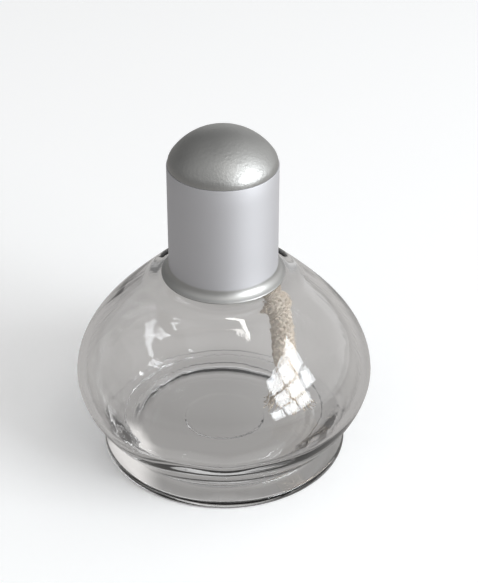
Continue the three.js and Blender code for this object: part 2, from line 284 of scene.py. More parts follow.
def inset(points, depth, first_heading, last_heading):
    """The points moved to the left of their run by a depth."""
    moved = []
    for i, p in enumerate(points):
        along = points[min(i + 1, len(points) - 1)] - points[max(i - 1, 0)]
        if i == 0:
            along = first_heading
        if i == len(points) - 1:
            along = last_heading
        along = along.normalized()
        moved.append(p + point(-along.y, along.x) * depth)
    return moved


# ---------------------------------------------------------------- meshes


def new_piece(name, bm):
    """An object at the origin that holds the bmesh."""
    mesh = bpy.data.meshes.new(name)
    bm.to_mesh(mesh)
    bm.free()
    piece = bpy.data.objects.new(name, mesh)
    bpy.context.scene.collection.objects.link(piece)
    return piece


def smooth(piece, angle=40):
    """Smooth shading, with edges sharper than the angle left crisp."""
    piece.data.shade_smooth()
    piece.data.set_sharp_from_angle(angle=radians(angle))


def spin_outline(bm, points, steps, closed):
    """Turns an outline about Z and joins its seam and its poles."""
    verts = [bm.verts.new((p.x, 0, p.y)) for p in points]
    pairs = list(zip(verts, verts[1:])) + ([(verts[-1], verts[0])] if closed else [])
    edges = [bm.edges.new(pair) for pair in pairs]
    turning = {"cent": (0, 0, 0), "axis": (0, 0, 1), "angle": 2 * pi}
    bmesh.ops.spin(bm, geom=verts + edges, steps=steps, use_merge=True, **turning)
    bmesh.ops.remove_doubles(bm, verts=bm.verts, dist=0.001 * MM)
    bmesh.ops.recalc_face_normals(bm, faces=bm.faces)


def turned(name, points, steps=128, closed=False, angle=40):
    """A turned piece: its outline starts and ends on the axis, or closes on itself to make a ring."""
    bm = bmesh.new()
    spin_outline(bm, points, steps, closed)
    piece = new_piece(name, bm)
    smooth(piece, angle)
    return piece


def baked(piece):
    """The piece with its modifiers or its curve made into a plain mesh."""
    name = piece.name
    data = piece.data
    shape = piece.evaluated_get(bpy.context.evaluated_depsgraph_get())
    mesh = bpy.data.meshes.new_from_object(shape)
    bpy.data.objects.remove(piece)
    mesh.name = name
    result = bpy.data.objects.new(name, mesh)
    bpy.context.scene.collection.objects.link(result)
    (bpy.data.curves if isinstance(data, bpy.types.Curve) else bpy.data.meshes).remove(data)
    return result


def drilled(piece, radius, length, place):
    """The piece with a round hole along Z."""
    bm = bmesh.new()
    bmesh.ops.create_cone(bm, cap_ends=True, segments=32, radius1=radius, radius2=radius, depth=length)
    bmesh.ops.translate(bm, verts=bm.verts, vec=place)
    cutter = new_piece("drill", bm)
    hole = piece.modifiers.new("hole", "BOOLEAN")
    hole.operation = "DIFFERENCE"
    hole.solver = "EXACT"
    hole.object = cutter
    result = baked(piece)
    bpy.data.objects.remove(cutter)
    return result


def yarns(name, lines, radius, sides=1, taper=None):
    """One mesh of thin tubes along lines of points; taper gives each tube's width along it."""
    data = bpy.data.curves.new(name, "CURVE")
    data.dimensions = "3D"
    data.bevel_depth = radius
    data.bevel_resolution = sides
    data.use_fill_caps = True
    for line in lines:
        spline = data.splines.new("POLY")
        spline.points.add(len(line) - 1)
        for i, place in enumerate(line):
            spline.points[i].co = (*place, 1)
            spline.points[i].radius = taper(i / (len(line) - 1)) if taper else 1
    piece = bpy.data.objects.new(name, data)
    bpy.context.scene.collection.objects.link(piece)
    piece = baked(piece)
    piece.data.shade_smooth()
    return piece


def joined(name, pieces):
    """Several pieces as one."""
    bm = bmesh.new()
    for piece in pieces:
        bm.from_mesh(piece.data)
        bpy.data.objects.remove(piece)
    result = new_piece(name, bm)
    result.data.shade_smooth()
    return result


def finish_piece(piece, material, body, slot, *nodes):
    """Gives the piece its material and its body and hides the nodes that it stands for; the slot is not used.
    """
    piece.data.materials.clear()
    piece.data.materials.append(material)
    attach(piece, body)
    if nodes:
        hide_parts(*nodes)


# ---------------------------------------------------------------- materials


class Value:
    """A socket that takes part in plain arithmetic: each operation adds its Math node."""

    def __init__(self, finish, socket):
        self.finish = finish
        self.socket = socket

    def math(self, operation, *others):
        node = self.finish.node("ShaderNodeMath", {"operation": operation}, *((self,) + others))
        return Value(self.finish, node.outputs[0])

    def __add__(self, other):
        return self.math("ADD", other)

    def __sub__(self, other):
        return self.math("SUBTRACT", other)

    def __rsub__(self, other):
        return self * -1 + other

    def __mul__(self, other):
        return self.math("MULTIPLY", other)

    def __truediv__(self, other):
        return self.math("DIVIDE", other)

    def __rtruediv__(self, other):
        return self.math("POWER", -1) * other

    __radd__ = __add__
    __rmul__ = __mul__

    def ramp(self, start, end, to_start=0.0, to_end=1.0):
        """The value taken smoothly from one span to another."""
        values = (self, start, end, to_start, to_end)
        return Value(self.finish, self.finish.node("ShaderNodeMapRange", SMOOTH, *values).outputs[0])


SMOOTH = {"interpolation_type": "SMOOTHSTEP"}


class Finish:
    """The node tree of one material, built round a Principled shader, or of the room."""

    def __init__(self, name, room=None):
        if room:
            self.tree = room
            self.tree.nodes.clear()
            self.output = self.tree.nodes.new("ShaderNodeOutputWorld")
            return
        self.material = bpy.data.materials.new(name)
        self.material.use_nodes = True
        self.tree = self.material.node_tree
        self.tree.nodes.clear()
        self.output = self.tree.nodes.new("ShaderNodeOutputMaterial")
        self.shader = self.tree.nodes.new("ShaderNodeBsdfPrincipled")
        self.tree.links.new(self.shader.outputs[0], self.output.inputs["Surface"])

    def connect(self, socket, value):
        if isinstance(value, Value):
            value = value.socket
        if isinstance(value, bpy.types.NodeSocket):
            self.tree.links.new(value, socket)
        else:
            socket.default_value = value

    def node(self, kind, settings, *values, **named):
        """A node of a type, with its settings first, then the values or links of its sockets."""
        node = self.tree.nodes.new(kind)
        for key, value in settings.items():
            setattr(node, key, value)
        for socket, value in zip(node.inputs, values):
            self.connect(socket, value)
        for key, value in named.items():
            self.connect(node.inputs[key.replace("_", " ").title()], value)
        return node

    def surface(self, **inputs):
        """Sets or links inputs of the Principled shader."""
        for key, value in inputs.items():
            name = key.replace("_", " ").title().replace("Ior", "IOR")
            self.connect(self.shader.inputs[name], value)

    def place(self):
        return self.node("ShaderNodeTexCoord", {}).outputs["Object"]

    def axes(self):
        """The place on the piece as three values, in metres."""
        parts = self.node("ShaderNodeSeparateXYZ", {}, self.place())
        return [Value(self, parts.outputs[i]) for i in range(3)]

    def stretched(self, x, y, z):
        return self.node("ShaderNodeMapping", {}, self.place(), Scale=(x, y, z)).outputs[0]

    def noise(self, scale, detail=2.0, vector=None, roughness=0.5):
        sockets = {"Vector": vector or self.place(), "Scale": scale, "Detail": detail, "Roughness": roughness}
        node = self.node("ShaderNodeTexNoise", {"noise_dimensions": "3D"}, **sockets)
        return Value(self, node.outputs[0])

    def mix(self, factor, a, b):
        """A blend of two colours."""
        node = self.node("ShaderNodeMix", {"data_type": "RGBA"}, Factor=factor)
        self.connect(node.inputs[6], a)
        self.connect(node.inputs[7], b)
        return node.outputs[2]

    def bump(self, height, strength):
        """Relief whose height is in millimetres."""
        return self.node("ShaderNodeBump", {}, Strength=strength, Distance=MM, Height=height).outputs[0]


def rgba(values, scale=1.0):
    return (*(v * scale for v in values), 1.0)


def clear_glass(s):
    """Clear pressed and blown glass: slow waves in the surface and a faint mould seam front and back."""
    f = Finish("clear_glass")
    x, y, z = f.axes()
    seam_width = 0.22 * MM
    across = (x + 1.6 * MM).math("ABSOLUTE")
    seam = across.ramp(0, seam_width, 1, 0) * z.ramp(46 * MM, 30 * MM)
    waves = f.noise(55, 1.0)
    away = (x * x + y * y + 1e-9).math("SQRT")
    around = f.node("ShaderNodeCombineXYZ", {}, x / away, y / away, z * 9).outputs[0]
    streaks = f.noise(9, 3.0, around) * z.ramp(6 * MM, 20 * MM)
    height = waves * 0.2 + streaks * 0.14 + seam * 0.05
    f.surface(
        base_color=rgba(s.tint),
        roughness=0.0,
        transmission_weight=1.0,
        ior=1.5,
        normal=f.bump(height, 0.35),
    )
    return f.material


def brushed_sleeve(s, flare_top):
    """Fine brushing round the sleeve; the flare under it keeps the satin finish of the dome, in a lighter copy
    of its colour as painted light.
    """
    f = Finish("brushed_sleeve")
    _, _, z = f.axes()
    flare = z.ramp(flare_top + 0.3 * MM, flare_top - 0.5 * MM)
    fine = f.noise(1, 2.0, f.stretched(160, 160, 14000))
    broad = f.noise(1, 2.0, f.stretched(60, 60, 1500))
    cloud = f.noise(140, 3.0)
    pebble = f.noise(850, 3.0, roughness=0.6)
    brushed = fine * 0.6 + broad * 0.4
    tone = (brushed - 0.5) * 0.16 + (cloud - 0.5) * 0.1 + 0.5
    light = f.mix(tone, rgba(s.sleeve_colour, 0.88), rgba(s.sleeve_colour, 1.12))
    height = brushed * (1 - flare) * 0.02 + pebble * flare * 0.06
    rougher = s.sleeve_roughness - s.dome_roughness
    f.surface(
        # Painted light: the flare takes the dome's colour made 1.2 times lighter.
        base_color=f.mix(flare, light, rgba(s.dome_colour, 1.2)),
        metallic=1.0,
        roughness=(brushed - 0.5) * 0.12 + (1 - flare) * rougher + s.dome_roughness,
        anisotropic=0.25,
        anisotropic_rotation=0.25,
        normal=f.bump(height, 0.5),
    )
    return f.material


def satin_dome(s):
    """Satin metal with the slight orange peel of a pressed and tumbled surface."""
    f = Finish("satin_dome")
    pebble = f.noise(1250, 3.0, roughness=0.6)
    grain = f.noise(3800, 2.0)
    cloud = f.noise(160, 3.0)
    light = f.mix(cloud, rgba(s.dome_colour, 0.9), rgba(s.dome_colour, 1.08))
    f.surface(
        base_color=light,
        metallic=1.0,
        roughness=(grain - 0.5) * 0.12 + (cloud - 0.5) * 0.06 + s.dome_roughness,
        normal=f.bump(pebble * 0.12 + grain * 0.05, 0.7),
    )
    return f.material


def burner_metal(s):
    """Plain turned and pressed metal, dulled in patches by heat and spirit."""
    f = Finish("burner_metal")
    rings = f.noise(1, 2.0, f.stretched(300, 300, 9000))
    stain = f.noise(240, 4.0)
    worn = stain.ramp(0.45, 0.7)
    f.surface(
        base_color=f.mix(worn, rgba(s.metal_colour), rgba(s.stain_colour)),
        metallic=1.0,
        roughness=worn * 0.18 + rings * 0.1 + 0.24,
        normal=f.bump(rings * 0.02 + stain * 0.03, 0.5),
    )
    return f.material


def gasket_rubber(s):
    f = Finish("gasket_rubber")
    grain = f.noise(1800, 3.0)
    f.surface(
        base_color=f.mix(grain, rgba(s.rubber_colour, 0.8), rgba(s.rubber_colour, 1.3)),
        roughness=grain * 0.2 + 0.6,
        normal=f.bump(grain * 0.05, 0.4),
    )
    return f.material


def wick_cotton(s, char_bottom, char_top):
    """Unbleached cotton, soiled in patches, brown to black at the burnt tip."""
    f = Finish("wick_cotton")
    _, _, z = f.axes()
    soil = f.noise(330, 4.0, roughness=0.6).ramp(0.42, 0.68)
    fleck = f.noise(2400, 2.0)
    clean = f.mix(fleck, rgba(s.yarn_colour, 0.85), rgba(s.yarn_colour, 1.15))
    cotton = f.mix(soil * 0.5, clean, rgba(s.shade_colour))
    char = (z + (fleck - 0.5) * 2.0 * MM).ramp(char_bottom, char_top)
    f.surface(
        base_color=f.mix(char, cotton, rgba(s.char_colour)),
        roughness=0.92,
        sheen_weight=0.35,
        sheen_roughness=0.6,
        specular_ior_level=0.2,
        normal=f.bump(fleck * 0.08, 0.6),
    )
    return f.material


# ---------------------------------------------------------------- glass


def reservoir_outline(s):
    """Outline of the glass: under the foot, up the outside, over the lip and down the inside."""
    skirt_slope = 15
    bulb_rise = 30
    shoulder_slope = 44
    waist_centre = point(s.waist_radius + s.waist_round, s.waist_height)
    waist = arc(waist_centre, s.waist_round, 270 - skirt_slope, 90 + bulb_rise, 12)
    rim_top = waist[0].y - (s.foot_radius - waist[0].x) * tan(radians(skirt_slope))
    foot = outline(
        [
            (0, s.hollow_depth - s.roundel_depth),
            (s.roundel_radius - 0.4 * MM, s.hollow_depth - s.roundel_depth, 1 * MM),
            (s.roundel_radius + 0.4 * MM, s.hollow_depth, 1 * MM),
            (s.hollow_radius, s.hollow_depth, 28 * MM),
            (s.ring_inner_radius, 0, 1 * MM),
            (s.foot_radius, 0, s.foot_edge),
            (s.foot_radius, rim_top, s.foot_edge),
            (waist[0].x, waist[0].y),
        ]
    )
    belly = point(s.bulb_radius, s.belly_height)
    lower = curve(waist[-1], waist[-1] + heading(bulb_rise) * 6 * MM, belly - point(0, 5.4 * MM), belly, 28)
    shoulder_centre = point(s.seat_radius, s.seat_height - s.shoulder_round)
    shoulder = arc(shoulder_centre, s.shoulder_round, 90 - shoulder_slope, 90, 10)
    rise = heading(180 - shoulder_slope)
    upper = curve(belly, belly + point(0, 10.8 * MM), shoulder[0] - rise * 13.1 * MM, shoulder[0], 40)

    neck_radius = s.neck_bore + s.neck_wall
    lip_radius = neck_radius + s.bead
    lip_top = top_of("glass_reservoir")
    bead_bottom = lip_top - 2.4 * MM
    inner_seat = s.seat_height - s.wall
    inner_round = s.shoulder_round - s.wall
    inner_turn = s.seat_radius + inner_round * tan(radians(shoulder_slope / 2))
    inner_rise = shoulder_centre + heading(90 - shoulder_slope) * inner_round - rise * 9 * MM
    neck = outline(
        [
            (s.seat_radius, s.seat_height),
            (neck_radius, s.seat_height, 1 * MM),
            (neck_radius, bead_bottom - s.bead, 0.4 * MM),
            (lip_radius, bead_bottom, 0.4 * MM),
            (lip_radius, lip_top, 0.5 * MM),
            (s.neck_bore, lip_top, 0.5 * MM),
            (s.neck_bore, inner_seat, 4 * MM),
            (inner_turn, inner_seat, 8 * MM),
            tuple(inner_rise),
        ],
        12,
    )
    inner_upper = [p for p in inset(upper, s.wall, point(0, 1), rise)[::-1] if p.y < neck[-1].y - 0.5 * MM]
    inner_belly = belly - point(s.wall, 0)
    floor_edge = point(s.floor_radius, s.floor_height)
    bowl = curve(inner_belly, inner_belly - point(0, 8 * MM), floor_edge + point(10 * MM, 0), floor_edge, 32)
    runs = [foot, waist, lower, upper, shoulder, neck, inner_upper]
    points = [p for run in runs for p in run[:-1]] + bowl
    flat = [point(s.floor_radius * k, s.floor_height) for k in (0.8, 0.6, 0.4, 0.2, 0)]
    return points + flat


def waver(piece, s):
    """Moves the inside wall in slow waves, as blown glass has, with the strongest on the floor."""
    neck_clear = s.seat_height - 6 * MM
    waves_per_metre = 42
    waves_round = 1.7
    floor_waves = 4
    verts = piece.data.vertices
    for vert, normal in list(zip(verts, [v.normal.copy() for v in verts])):
        outwards = Vector((vert.co.x, vert.co.y, 0))
        away = outwards.length
        facing_in = normal.dot(outwards) < 0 or away < s.floor_radius
        if facing_in and s.floor_height - MM < vert.co.z < neck_clear and away > 2 * MM:
            fade = min(1, (neck_clear - vert.co.z) / (6 * MM))
            low_down = max(0, min(1, (18 * MM - vert.co.z) / (8 * MM)))
            depth = noise.noise(vert.co * waves_per_metre) * s.unevenness
            vert.co -= normal * (depth * fade * (1 + floor_waves * low_down))
            lean = noise.noise(outwards / away * waves_round + Vector((0, 0, 5))) * s.floor_wander
            vert.co += outwards / away * lean * low_down * min(1, away / s.floor_radius)


class LAMP_OT_glass(bpy.types.Operator):
    """Make the glass reservoir"""

    bl_idname = "lamp.glass"
    bl_label = "Glass Reservoir"

    def execute(self, context):
        s = context.scene.lamp_glass
        glass = turned("glass_body", reservoir_outline(s), steps=180, angle=60)
        waver(glass, s)
        finish_piece(glass, clear_glass(s), "reservoir", "clear_glass", "glass_reservoir")
        return {"FINISHED"}


# ---------------------------------------------------------------- burner


def make_spigot(s, metal):
    """Flanged spring sleeve, slotted into fingers, as one bent sheet."""
    reach = radius_of("burner_spigot")
    flange_top = top_of("burner_spigot")
    bottom = bottom_of("burner_spigot")
    outer = glass_settings().neck_bore - 0.3 * MM
    steps = s.slots * 16
    slot_top = bottom + s.slot_length
    rim = flange_top - s.sheet
    points = [point(outer, bottom), point(outer, slot_top)]
    points += outline([(outer, slot_top), (outer, rim, 0.5 * MM), (reach, rim)])[1:]
    bm = bmesh.new()
    spin_outline(bm, points, steps, closed=False)
    pitch = 2 * pi / s.slots
    slotted = []
    for face in bm.faces:
        middle = face.calc_center_median()
        swing = (atan2(middle.y, middle.x) / pitch - 0.5) % 1
        if middle.z < slot_top and min(swing, 1 - swing) < 1 / 16:
            slotted.append(face)
    bmesh.ops.delete(bm, geom=slotted, context="FACES")
    bmesh.ops.recalc_face_normals(bm, faces=bm.faces)
    finger = min(bm.faces, key=lambda face: face.calc_center_median().z)
    side = finger.normal.dot(Vector((*finger.calc_center_median().xy, 0)))
    bmesh.ops.solidify(bm, geom=bm.faces, thickness=s.sheet if side > 0 else -s.sheet)
    bmesh.ops.recalc_face_normals(bm, faces=bm.faces)
    piece = new_piece("spring_spigot", bm)
    smooth(piece)
    finish_piece(piece, metal, "burner", "burner_metal", "burner_spigot")


def make_plate(s, metal):
    """Pressed cover plate with a rolled edge, a shallow stiffening groove and an air vent."""
    edge = radius_of("burner_plate")
    top = top_of("burner_plate")
    bottom = bottom_of("burner_plate")
    hole = radius_of("wick_tube") - 0.15 * MM
    groove = 0.2 * MM
    plate = outline(
        [
            (hole, top - s.sheet),
            (edge - s.sheet, top - s.sheet, 0.6 * MM),
            (edge - s.sheet, bottom, 0.15 * MM),
            (edge, bottom, 0.15 * MM),
            (edge, top, 1.2 * MM),
            (edge - 2.2 * MM, top, 0.2 * MM),
            (edge - 2.5 * MM, top - groove, 0.2 * MM),
            (edge - 3.1 * MM, top - groove, 0.2 * MM),
            (edge - 3.4 * MM, top, 0.2 * MM),
            (hole, top),
        ],
        4,
    )
    piece = turned("burner_cover", plate, steps=96, closed=True)
    piece = drilled(piece, s.vent_radius, 4 * s.sheet, (-s.vent_offset, 0, top))
    smooth(piece)
    finish_piece(piece, metal, "burner", "burner_metal", "burner_plate")


def make_tube(metal):
    """Wick tube with a rolled lip."""
    lip = radius_of("wick_tube")
    top = top_of("wick_tube")
    bottom = bottom_of("wick_tube")
    bore = wick_settings().diameter / 2 + 0.3 * MM
    wall = 0.6 * MM
    tube = outline(
        [
            (bore, bottom, 0.15 * MM),
            (bore + wall, bottom, 0.15 * MM),
            (bore + wall, top - MM, 0.15 * MM),
            (lip, top - MM, 0.3 * MM),
            (lip, top, 0.4 * MM),
            (bore, top, 0.3 * MM),
            (bore, bottom + MM),
        ],
        5,
    )
    piece = turned("wick_sleeve", tube, steps=72, closed=True)
    finish_piece(piece, metal, "burner", "burner_metal", "wick_tube")


def make_collar(metal):
    """Turned collar with a chamfer and three fine grooves."""
    outer = radius_of("tube_collar")
    top = top_of("tube_collar")
    bottom = top_of("burner_plate")
    bore = wick_settings().diameter / 2 + 0.9 * MM
    chamfer = 0.8 * MM
    groove = 0.12 * MM
    corners = [(bore, bottom), (outer, bottom, 0.1 * MM)]
    for level in (0.7, 1.2, 1.7):
        middle = bottom + level * MM
        corners += [(outer, middle - groove), (outer - groove, middle), (outer, middle + groove)]
    corners += [(outer, top - chamfer, 0.1 * MM), (outer - chamfer, top, 0.1 * MM), (bore, top)]
    piece = turned("clamp_collar", outline(corners, 3), steps=96, closed=True, angle=25)
    finish_piece(piece, metal, "burner", "burner_metal", "tube_collar")


def make_gasket(s):
    """Soft ring that bulges a little where the burner presses on it."""
    outer = radius_of("neck_gasket")
    inner = glass_settings().neck_bore
    top = bottom_of("burner_spigot") + 6 * MM - s.sheet
    bottom = top_of("glass_reservoir")
    bulge = 0.25 * MM
    out = point(bulge, 0)
    outside = [point(outer, bottom), point(outer, bottom) + out, point(outer, top) + out, point(outer, top)]
    inside = [point(inner, top), point(inner, top) - out, point(inner, bottom) - out, point(inner, bottom)]
    ring = curve(*outside, 8) + curve(*inside, 8)
    piece = turned("sealing_ring", ring, steps=96, closed=True, angle=60)
    finish_piece(piece, gasket_rubber(s), "burner", "gasket_rubber", "neck_gasket")


class LAMP_OT_burner(bpy.types.Operator):
    """Make the burner: spigot, cover plate, wick tube, collar and sealing ring"""

    bl_idname = "lamp.burner"
    bl_label = "Burner"

    def execute(self, context):
        s = context.scene.lamp_burner
        metal = burner_metal(s)
        make_spigot(s, metal)
        make_plate(s, metal)
        make_tube(metal)
        make_collar(metal)
        make_gasket(s)
        return {"FINISHED"}


# ---------------------------------------------------------------- wick

# Centre line in millimetres, from the lit tip down the tube and in a slack bow to the floor.
WICK_ROUTE = [
    (0, 0, 79.5), (0, 0, 74.6), (0, 0, 69.8), (0, 0, 65),
    (0, 0, 62), (0.05, 0.02, 60), (0.42, 0.16, 57.6), (1.24, 0.46, 55.3),
    (2.58, 0.96, 53), (4.35, 1.62, 51), (6.6, 2.47, 49), (8.85, 3.3, 47),
    (10.8, 3.95, 45.2), (12.65, 4.4, 43.2), (14.1, 4.75, 40.6), (15, 4.75, 37.6),
    (15.65, 4.5, 34), (16, 4.1, 30.4), (16.25, 3.55, 26.8), (16.55, 2.9, 23.2),
    (16.9, 2.25, 19.6), (17.35, 1.6, 16), (17.9, 1, 12.6), (18.4, 0.6, 9.8),
]


def route_points(spacing):
    """Evenly spaced points along the wick's centre line."""
    places = [Vector(p) * MM for p in WICK_ROUTE]
    dense = []
    for i in range(len(places) - 1):
        before = places[max(i - 1, 0)]
        after = places[min(i + 2, len(places) - 1)]
        start_pull = places[i] + (places[i + 1] - before) / 6
        end_pull = places[i + 1] - (after - places[i]) / 6
        dense += interpolate_bezier(places[i], start_pull, end_pull, places[i + 1], 24)[:-1]
    dense.append(places[-1])
    even = [dense[0]]
    gone = 0.0
    for a, b in zip(dense, dense[1:]):
        step = (b - a).length
        while gone + step >= spacing * len(even):
            even.append(a.lerp(b, (spacing * len(even) - gone) / step))
        gone += step
    return even


def frames_along(points):
    """For each point: the point, the way forward, and two ways across that don't twist."""
    side = Vector((1, 0, 0))
    frames = []
    for i, place in enumerate(points):
        ahead = (points[min(i + 1, len(points) - 1)] - points[max(i - 1, 0)]).normalized()
        side = (side - ahead * side.dot(ahead)).normalized()
        frames.append((place, ahead, side, ahead.cross(side)))
    return frames


def braid_lines(s, points):
    """Centre lines of the braid's strands, which pass over and under each other at every crossing."""
    frames = frames_along(points)
    spacing = (points[1] - points[0]).length
    strand = s.diameter * 0.088
    over = s.diameter * 0.018
    ring = s.diameter / 2 - strand - over
    lines = []
    for way in (1, -1):
        for k in range(s.strands):
            line = []
            for i, (place, _, side, other) in enumerate(frames):
                crossings = i * spacing / s.crossing
                angle = 2 * pi * k / s.strands + way * crossings * pi / s.strands
                out = ring + way * over * cos(pi * crossings)
                line.append(place + (side * cos(angle) + other * sin(angle)) * out)
            lines.append(line)
    return lines, strand, ring


def fibre_lines(s, points, random):
    """Short curled fibres that stand off the braid, except inside the tube."""
    frames = frames_along(points)
    tube_bottom = bottom_of("wick_tube")
    tube_top = top_of("wick_tube")
    lines = []
    while len(lines) < s.fibres:
        place, ahead, side, other = frames[random.randrange(2, len(frames) - 2)]
        angle = random.uniform(0, 2 * pi)
        out = side * cos(angle) + other * sin(angle)
        along = (ahead * random.uniform(-1, 1) + out.cross(ahead) * random.uniform(-1, 1)).normalized()
        reach = random.uniform(0.2, 0.75) * MM
        curl = random.uniform(-0.5, 0.6)
        if tube_bottom - 2 * MM < place.z < tube_top + 0.5 * MM:
            continue
        root = place + out * (s.diameter / 2 - 0.35 * MM)
        line = []
        for j in range(5):
            t = j / 4
            line.append(root + along * reach * t + out * reach * (0.9 * t - curl * t * t))
        lines.append(line)
    return lines


def frayed_lines(s, points, random):
    """Loose yarns of the lower end, which splay over the floor of the bulb."""
    start = len(points) - 14
    foot = points[-1]
    floor = glass_settings().floor_height + 0.25 * MM
    lines = []
    for _ in range(s.frayed_strands):
        angle = random.uniform(0, 2 * pi)
        inner = s.diameter / 2 * sqrt(random.random()) * 0.85
        spread = random.uniform(0.2, 1) ** 1.4
        out = Vector((cos(angle), sin(angle) * 0.7, 0))
        reach = 6.2 * MM * spread
        lift = random.uniform(0, 1.6) * MM * (1.2 - spread)
        wave = random.uniform(-0.5, 0.5) * MM
        phase = random.uniform(0, 6)
        line = []
        for j in range(14):
            t = j / 13
            centre = points[min(start + int(t * 13), len(points) - 1)]
            splay = max(0, t - 0.3) / 0.7
            flat = centre + out * (inner + reach * splay**1.5)
            flat += Vector((sin(phase + 5 * t), cos(phase + 4 * t), 0)) * wave * splay
            away = hypot(flat.x, flat.y)
            climb = max(0, away - 20 * MM) ** 2 * 16
            height = max(centre.z - 1.2 * MM * splay, foot.z) + lift * splay - (foot.z - floor) * splay**3
            line.append(Vector((flat.x, flat.y, max(height, floor + climb))))
        lines.append(line)
    return lines


def tip_lines(s, points, random):
    """Cut yarn ends that stand up from the lit tip."""
    top = points[0]
    lines = []
    for _ in range(90):
        angle = random.uniform(0, 2 * pi)
        inner = s.diameter / 2 * sqrt(random.random()) * 0.9
        out = Vector((cos(angle), sin(angle), 0))
        lean = random.uniform(-0.1, 0.5) * MM
        rise = random.uniform(-0.5, 0) * MM
        root = top + out * inner - Vector((0, 0, 1.6 * MM))
        stand = Vector((0, 0, 1.6 * MM + rise))
        lines.append([root + out * lean * (j / 5) ** 2 + stand * j / 5 for j in range(6)])
    return lines


class LAMP_OT_wick(bpy.types.Operator):
    """Make the braided cotton wick, its loose fibres, its cut tip and its frayed end"""

    bl_idname = "lamp.wick"
    bl_label = "Cotton Wick"

    def execute(self, context):
        s = context.scene.lamp_wick
        random = Random(11)
        points = route_points(0.32 * MM)
        lines, strand, ring = braid_lines(s, points)
        core = yarns("wick_core", [points[2:]], ring, sides=4)
        braid = yarns("wick_braid", lines, strand, sides=1)
        wick = joined("cotton_wick", [core, braid])
        cotton = wick_cotton(s, top_of("wick_tube") - 1 * MM, top_of("wick") - 0.5 * MM)
        finish_piece(wick, cotton, "burner", "wick_cotton", "wick")

        coarse = route_points(0.9 * MM)
        fuzz = yarns("wick_fuzz", fibre_lines(s, coarse, random), 0.022 * MM, 0, lambda t: 1 - 0.7 * t)
        fray = yarns("wick_fray", frayed_lines(s, coarse, random), 0.26 * MM, 1, lambda t: 1 - 0.55 * t)
        tip = yarns("wick_tip", tip_lines(s, coarse, random), 0.3 * MM, 1, lambda t: 1 - 0.4 * t)
        for loose in (fuzz, fray, tip):
            finish_piece(loose, cotton, "burner", "wick_cotton")

        return {"FINISHED"}


# ---------------------------------------------------------------- cap


def sleeve_outline(s):
    """Outline of the sleeve: flared lip, straight outside, top edge and inside."""
    swing = degrees(s.flare_turn)
    lip = bottom_of("cap_sleeve")
    top = top_of("cap_sleeve")
    bend_height = lip + (s.flare_round + s.wall) * sin(s.flare_turn)
    bend = point(s.sleeve_radius + s.flare_round, bend_height)
    outside = arc(bend, s.flare_round, 180 + swing, 180, 14)
    inside = arc(bend, s.flare_round + s.wall, 180, 180 + swing, 14)
    edge = outline(
        [
            (s.sleeve_radius, bend_height),
            (s.sleeve_radius, top, 0.1 * MM),
            (s.sleeve_radius - s.wall, top, 0.1 * MM),
            (s.sleeve_radius - s.wall, bend_height),
        ],
        3,
    )
    thick = (outside[0] - inside[-1]).length / 2
    middle = (outside[0] + inside[-1]) / 2
    rolled = arc(middle, thick, swing - 180, swing, 6)[1:-1]
    straight = [edge[0].lerp(edge[1], k / 6) for k in range(1, 6)]
    return outside[:-1] + [edge[0]] + straight + edge[1:-1] + inside + rolled


def dome_outline(s):
    """Outline of the dome: inside, pressed skirt, ledge and crown."""
    base = top_of("cap_sleeve") + 0.04 * MM
    radius = s.sleeve_radius - s.dome_ledge
    corner = point(radius - s.dome_corner, base)
    drop = sqrt((s.dome_crown - s.dome_corner) ** 2 - corner.x**2)
    crown = point(0, base - drop)
    blend = degrees(atan2(drop, corner.x))
    skirt = s.sleeve_radius - s.wall - 0.05 * MM
    bore = skirt - s.dome_wall
    bottom = bottom_of("cap_dome")
    inner_corner = point(bore - s.dome_corner + s.dome_wall, base)
    inside = arc(crown, s.dome_crown - s.dome_wall, 90, blend, 20)[:-1]
    inside += arc(inner_corner, s.dome_corner - s.dome_wall, blend, 0, 10)
    skirt_run = outline(
        [
            (bore, base),
            (bore, bottom, 0.15 * MM),
            (skirt, bottom, 0.15 * MM),
            (skirt, base, 0.05 * MM),
            (radius - 0.01 * MM, base, 0.05 * MM),
            (radius, base + 0.3 * MM),
        ],
        3,
    )
    outside = [p for p in arc(corner, s.dome_corner, 0, blend, 16)[:-1] if p.y > base + 0.1 * MM]
    outside += arc(crown, s.dome_crown, blend, 90, 28)
    points = inside + skirt_run[1:-1] + outside
    points[0].x = 0
    points[-1].x = 0
    return points


class LAMP_OT_cap(bpy.types.Operator):
    """Make the snuffer cap: brushed sleeve and domed top"""

    bl_idname = "lamp.cap"
    bl_label = "Snuffer Cap"

    def execute(self, context):
        s = context.scene.lamp_cap
        flare_top = bottom_of("cap_sleeve") + (s.flare_round + s.wall) * sin(s.flare_turn)
        sleeve = turned("brushed_sleeve", sleeve_outline(s), steps=160, closed=True, angle=50)
        finish_piece(sleeve, brushed_sleeve(s, flare_top), "cap", "brushed_sleeve", "cap_sleeve")
        dome = turned("satin_dome", dome_outline(s), steps=160, angle=50)
        finish_piece(dome, satin_dome(s), "cap", "satin_dome", "cap_dome")
        return {"FINISHED"}


# ---------------------------------------------------------------- stage


